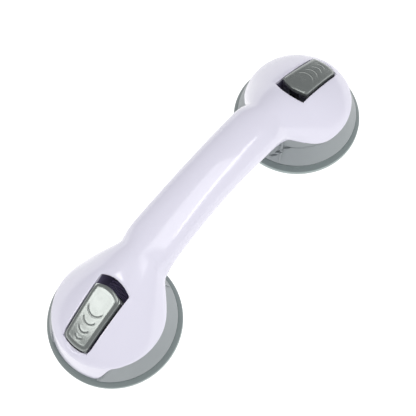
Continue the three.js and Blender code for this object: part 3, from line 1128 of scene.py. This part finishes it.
def buildCollar():
    top, wide = collar["top"], collar["topRadius"]
    footWide, footTop, foot = collar["footRadius"], collar["footTop"], collar["foot"]
    bore, tower, towerTop = collar["bore"], collar["towerRadius"], collar["towerTop"]
    floor, floorTop, spigotTop = collar["floor"], collar["floorTop"], collar["spigotTop"]
    profile = [(bore, floor), (bore, towerTop), (tower, towerTop), (tower, floorTop)]
    profile += [(32.8, floorTop), (32.8, spigotTop), (34.2, spigotTop), (34.6, top), (wide, top)]
    for i in range(1, 17):
        profile.append((mix(wide, footWide, i / 16), mix(top, footTop, i / 16)))
    profile += [(footWide, foot), (37, foot), (33.3, floor), (bore, floor)]
    piece = turned("collar", profile, collar["steps"])
    softened(piece, collar["edge"])

    # room for the shell's skirt
    def cutBack(x, y, z):
        reach = hypot(x, y)
        if reach < 35 or z > 26:
            return x, y, z
        foot = skirtFoot(atan2(abs(y), x) * 180 / pi, form["headEdge"])
        share = smoothstep(foot - 1.3, foot - 0.3, z)
        limit = mix(collar["spaceTop"], collar["spaceFoot"], (26 - z) / 17.4)
        fresh = mix(reach, min(reach, limit), share)
        return x * fresh / reach, y * fresh / reach, z

    shaped(piece, cutBack)

    # the saddle that carries the grip cover's ends
    inner, outer = collar["saddleInner"], collar["saddleOuter"]
    low, high = collar["saddleFoot"], 60
    wall = [(inner, low), (outer, low), (outer, high), (inner, high), (inner, low)]
    saddle = turned("saddle", wall, 85, 170)
    settled(saddle, turn=-95)

    def lowered(x, y, z):
        return x, y, z if z < 40 else splitHeight(headX + x) - 0.3

    shaped(saddle, lowered)
    combined(piece, saddle, "UNION")
    low = collar["gussetFoot"]
    high = underHeight(headX - 38) - 7
    side = [(-35, 19), (-35, high - 0.6), (-35.4, high), (-36.6, high), (-37.1, high - 0.4)]
    side += [(-42.8, low + 0.5), (-42.6, low), (-35, low)]
    for angle in collar["gussets"]:
        gusset = slab("gusset", side, collar["gussetThickness"])
        softened(gusset, 0.25)
        combined(piece, settled(gusset, turn=angle), "UNION")

    # the slanting notches at the neck, whose angle, height and slant are given
    for angle, high, slant in collar["notches"]:
        reach = mix(wide, footWide, (top - high) / (top - footTop))
        for hand in (-1, 1):
            notch = slab("notch", collar["notch"], collar["notchDepth"] * 2)
            settled(settled(notch, turn=90), -reach, 0, 0, tip=-hand * slant)
            settled(notch, 0, 0, high)
            combined(piece, settled(notch, turn=hand * angle), "DIFFERENCE")
    for u, v in collar["holes"]:
        hole = turned("bore", [(0, 0), (1.75, 0), (1.75, 40), (0, 40)], 32)
        combined(piece, settled(hole, u, v), "DIFFERENCE")
    smoothed(piece, 35)
    return piece


for side, piece in pairOf(buildCollar(), "collar").items():
    finished(piece, "grey_collar", "handle", side + "_collar")
print("collars done")


stud = {
    "radius": 5.0,
    "flange": 11.5,
    "foot": 6.3,
    "thickness": 2.2,
    "shankTop": 28.8,
    "eye": 4.8,
    "neck": 3.4,
    "tongue": 7.0,
    "bore": 2.1,
}


def crossRod(name, radius, length, edge=0):
    profile = [(0, -length / 2), (radius - edge, -length / 2), (radius, -length / 2 + edge)]
    profile += [(radius, length / 2 - edge), (radius - edge, length / 2), (0, length / 2)]
    return settled(turned(name, profile, 48), 0, 0, pinHeight, tip=90)


def buildStud():
    radius, rim, foot = stud["radius"], stud["flange"], stud["foot"]
    lid = foot + stud["thickness"]
    profile = [(0, foot), (rim - 0.4, foot), (rim, foot + 0.4), (rim, lid - 0.4), (rim - 0.4, lid)]
    profile += [(radius + 0.25, lid), (radius, lid + 0.3), (radius, stud["shankTop"] - 0.4)]
    profile += [(radius - 0.4, stud["shankTop"]), (0, stud["shankTop"])]
    piece = turned("stud", profile, 96)
    side = [(-stud["neck"], stud["shankTop"] - 2), (stud["neck"], stud["shankTop"] - 2)]
    for i in range(49):
        angle = radians(mix(-48, 228, i / 48))
        side.append((stud["eye"] * cos(angle), pinHeight + stud["eye"] * sin(angle)))
    tongue = slab("tongue", side, stud["tongue"])
    softened(tongue, 0.3, 2, 50)
    combined(piece, tongue, "UNION")
    combined(piece, crossRod("bore", stud["bore"], 30), "DIFFERENCE")
    smoothed(piece, 35)
    return piece


for side, piece in pairOf(buildStud(), "cup_stud").items():
    finished(piece, "stud_plastic", side + "_stud", side + "_cup_stud")

pin = {"radius": 2.0, "length": 18.6, "edge": 0.3}
rod = crossRod("pin", pin["radius"], pin["length"], pin["edge"])
smoothed(rod, 30)
for side, piece in pairOf(rod, "pivot_pin").items():
    finished(piece, "steel", side + "_stud", side + "_pivot_pin")

washer = {"inner": 5.4, "outer": 9.5, "foot": 30.1, "top": 31.1}
ringSide = [(washer["inner"], washer["foot"]), (washer["outer"], washer["foot"])]
ringSide += [(washer["outer"], washer["top"]), (washer["inner"], washer["top"])]
disc = turned("washer", ringSide + ringSide[:1], 96)
softened(disc, 0.15)
smoothed(disc, 35)
for side, piece in pairOf(disc, "cam_washer").items():
    finished(piece, "steel", "handle", side + "_cam_washer")

spring = {
    "wire": 0.6,
    "radius": 7.2,
    "turns": 3.5,
    "low": 13.5,
    "high": 20.0,
    "steps": 168,
}


def buildSpring():
    putDown()
    bpy.ops.mesh.primitive_circle_add(
        vertices=16, radius=spring["wire"] * mm, rotation=(pi / 2, 0, 0)
    )
    piece = justAdded("spring")
    settled(piece, spring["radius"], 0, spring["low"], tip=90)
    modified(
        piece,
        "SCREW",
        angle=2 * pi * spring["turns"],
        screw_offset=(spring["high"] - spring["low"]) * mm,
        steps=spring["steps"],
        render_steps=spring["steps"],
        axis="Z",
    )
    startEditing(piece)
    bpy.ops.mesh.select_all(action="SELECT")
    bpy.ops.mesh.fill_holes(sides=0)
    bpy.ops.mesh.select_all(action="SELECT")
    bpy.ops.mesh.normals_make_consistent(inside=False)
    putDown()
    smoothed(piece, 45)
    return piece


for side, piece in pairOf(buildSpring(), "release_spring").items():
    finished(piece, "steel", None, side + "_release_spring")
    side + "_stud"
    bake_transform(piece)
print("studs, pins, washers and springs done")


lever = {
    "heel": 8.4,
    "tip": 31.7,
    "bow": 3.0,
    "tipBow": 1.6,
    "width": 20.4,
    "tipWidth": 18.4,
    "proud": 1.1,
    "thickness": 6.0,
    "crown": 0.4,
    "chamfer": 3.0,
    "chamferDrop": 1.5,
    "rim": 2.9,
    "heelRim": 3.4,
    "panel": 0.08,
    "alongSteps": 150,
    "acrossSteps": 84,
    "arcs": ((11.4, 6.6, 80), (17.2, 5.4, 78), (22.8, 4.4, 76), (27.4, 3.4, 72)),
    "arcDepth": 0.22,
    "arcWidth": 0.4,
    "forkGap": 8.0,
    "forkClear": 6.4,
    "camLow": 5.6,
    "camHigh": 8.6,
    "heelFoot": 10.6,
    "bore": 2.1,
}


def leverHalf(u):
    share = (u + lever["heel"]) / (lever["tip"] + lever["heel"])
    return mix(lever["width"], lever["tipWidth"], share) / 2


# Closeness to a corner of two edges, with the corner rounded.
def roundedIn(p, q, radius):
    if p < radius and q < radius:
        return radius - hypot(radius - p, radius - q)
    return min(p, q)


def leverFace(u, y, fromHeel, fromTip):
    fromSide = leverHalf(u) - abs(y)
    z = topHeight(headX + u) + lever["proud"]
    z -= lever["crown"] * (y / leverHalf(u)) ** 2
    wide = lever["chamfer"]
    over = [max(wide - d, 0) for d in (fromSide, fromHeel, fromTip)]
    over = min(hypot(*over) / wide, 1)
    z -= lever["chamferDrop"] * (1 - sqrt(1 - over * over))
    inner = roundedIn(fromSide - lever["rim"], fromHeel - lever["heelRim"], 3.2)
    inner = min(inner, roundedIn(fromSide - lever["rim"], fromTip - lever["rim"], 1.4))
    z -= lever["panel"] * smoothstep(-0.9, 0.9, inner)
    for bottom, radius, spread in lever["arcs"]:
        du = u - bottom + radius
        angle = abs(atan2(y, du)) * 180 / pi
        fade = 1 - smoothstep(spread - 30, spread, angle)
        off = hypot(du, y) - radius
        z -= lever["arcDepth"] * fade * exp(-((off / lever["arcWidth"]) ** 2))
        z += 0.4 * lever["arcDepth"] * fade * exp(-(((off + 1.1) / 0.6) ** 2))
    return z


def buildLever():
    putDown()
    bpy.ops.mesh.primitive_grid_add(
        x_subdivisions=lever["alongSteps"], y_subdivisions=lever["acrossSteps"], size=2
    )
    piece = justAdded("lever")

    def place(x, y, z):
        # the grid's lines lie closer together at the edges
        a = (x * mm + 1) / 2
        a -= 0.07 * sin(2 * pi * a)
        b = y * mm
        b += 0.13 * sin(pi * b)
        heel = -lever["heel"] + lever["bow"] * b * b
        tip = lever["tip"] - lever["tipBow"] * b * b
        u = mix(heel, tip, a)
        v = b * leverHalf(u)
        return u, v, leverFace(u, v, u - heel, tip - u)

    shaped(piece, place)
    startEditing(piece)
    choose(piece, "EDGE", lambda edge: edge.is_boundary)
    bpy.ops.mesh.extrude_region_move(TRANSFORM_OT_translate={"value": at(0, 0, -45)})
    bpy.ops.mesh.fill_holes(sides=0)
    bpy.ops.mesh.select_all(action="SELECT")
    bpy.ops.mesh.normals_make_consistent(inside=False)
    putDown()

    # the underside, with the cam under the pin
    under = []
    for i in range(25):
        u = mix(lever["tip"] + 2, lever["camHigh"], i / 24)
        low = topHeight(headX + u) + lever["proud"] - lever["thickness"]
        under.append((u, low + 1.6 * smoothstep(24, 33, u)))
    under.append((lever["camHigh"] - 1, pinHeight - lever["camHigh"] * 0.45))
    under.append((lever["camHigh"] / 2, pinHeight - lever["camHigh"]))
    lead = (lever["camHigh"] - lever["camLow"]) / (pi / 2)
    for i in range(33):
        swept = pi / 2 * i / 32
        reach = lever["camHigh"] - lead * swept
        u = -reach * sin(swept) + lead * cos(swept)
        under.append((u, pinHeight - reach * cos(swept) - lead * sin(swept)))
    shelf = pinHeight + lever["heelFoot"]
    under += [(-lever["camLow"], shelf - 1.2), (-lever["camLow"] - 0.4, shelf - 0.4)]
    under += [(-lever["camLow"] - 1.2, shelf), (-lever["heel"] - 2, shelf)]
    under += [(-lever["heel"] - 2, 75), (lever["tip"] + 2, 75)]
    combined(piece, slab("underside", under, 40), "INTERSECT")
    clear = lever["forkClear"]
    fork = []
    for angle in range(-40, 91, 5):
        turn = radians(angle)
        fork.append((clear * cos(turn), pinHeight + clear * sin(turn)))
    fork += [(-20, pinHeight + clear), (-20, 10), (clear, 10)]
    combined(piece, slab("fork", fork, lever["forkGap"]), "DIFFERENCE")
    combined(piece, crossRod("bore", lever["bore"], 40), "DIFFERENCE")
    smoothed(piece, 38)
    return piece


for side, piece in pairOf(buildLever(), "lever").items():
    finished(piece, "grey_lever", side + "_lever", side + "_lever")
print("levers done")


stage = {
    "size": 8.0,
    "depth": 0.0003,
    "colour": (0.3, 0.3, 0.3),
    "glow": 1.0,
    "sky": (0.93, 0.94, 1.0),
    "skyPower": 0.3,
}


def buildFloor():
    putDown()
    bpy.ops.mesh.primitive_plane_add(size=stage["size"], location=(0, 0, -stage["depth"]))
    floor = justAdded("floor")
    made = Finish("floorPaper")
    shade = made.between(made.noise(3), stage["colour"], stage["colour"])
    floor.data.materials.append(
        made.surface(
            Base_Color=shade,
            Roughness=0.9,
            Emission_Color=(1, 1, 1, 1),
            Emission_Strength=stage["glow"],
        )
    )


buildFloor()

lights = {
    "key": {"from": (-0.71, 0.30, 0.64), "distance": 1.1, "size": (0.42, 0.38), "power": 2.6},
    "strip": {"from": (0.29, -0.54, 0.78), "distance": 1.0, "size": (0.9, 0.12), "power": 1.6},
    "overhead": {"from": (0.05, -0.35, 1.0), "distance": 1.3, "size": (1.2, 1.2), "power": 9.8},
}
lightAim = (0, 0, 0.04)


def addLight(name, facts):
    away = Vector(facts["from"]).normalized()
    centre = Vector(lightAim)
    putDown()
    bpy.ops.object.light_add(type="AREA", location=centre + away * facts["distance"])
    lamp = bpy.context.object
    lamp.name = name + "Light"
    lamp.rotation_euler = away.to_track_quat("Z", "Y").to_euler()
    lamp.data.shape = "RECTANGLE"
    lamp.data.size, lamp.data.size_y = facts["size"]
    lamp.data.energy = facts["power"]
    lamp.data.color = (1.0, 0.99, 0.98)


for name, facts in lights.items():
    addLight(name, facts)

world = bpy.data.worlds.new("studio")
world.use_nodes = True
sky = world.node_tree.nodes["Background"].inputs
sky[0].default_value = (*stage["sky"], 1)
sky[1].default_value = stage["skyPower"]
bpy.context.scene.world = world
bpy.context.scene.view_settings.view_transform = "Standard"

view = {
    "place": (-0.1449, -0.1555, 0.5309),
    "right": (0.644, -0.7634, -0.0503),
    "up": (0.7203, 0.5828, 0.3763),
    "back": (-0.258, -0.2785, 0.9251),
    "lens": 69.9,
}


def addCamera():
    putDown()
    bpy.ops.object.camera_add()
    camera = bpy.context.object
    columns = Matrix((view["right"], view["up"], view["back"])).transposed()
    camera.matrix_world = Matrix.Translation(view["place"]) @ columns.to_4x4()
    camera.data.lens = view["lens"]
    camera.data.sensor_width = 36
    camera.data.clip_end = 20
    bpy.context.scene.camera = camera


addCamera()
print("stage, lights and camera set")
